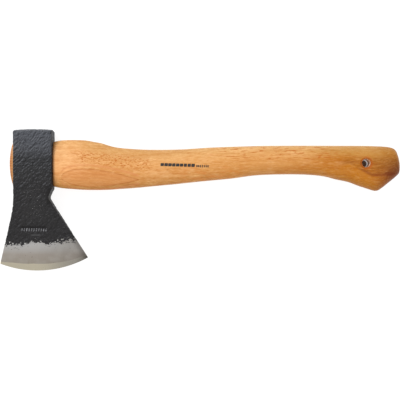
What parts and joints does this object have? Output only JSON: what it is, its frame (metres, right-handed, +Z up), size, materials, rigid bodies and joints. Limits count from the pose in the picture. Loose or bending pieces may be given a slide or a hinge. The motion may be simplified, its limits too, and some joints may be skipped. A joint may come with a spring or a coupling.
{
  "type": "hatchet",
  "caption": "Small one-hand hatchet: forged head with a hammered finish and a ground edge, wedged on a curved wooden handle with a countersunk hanging hole.",
  "frame": {"origin": "on the resting cheek of the head, right under the middle of the eye", "axes": "+X along the handle to its free end, +Y to the poll, +Z up, square to the flat cheeks"},
  "size_m": [0.3991, 0.1415, 0.028],
  "materials": {
    "forged_steel": "satin",
    "hickory": "satin",
    "wedge_wood": "matte",
    "bright_steel": "satin"
  },
  "bodies": {
    "root": {"head": "forged_steel", "handle": "hickory", "kerf_wedge": "wedge_wood", "ring_wedge": "bright_steel"}
  },
  "joints": []
}
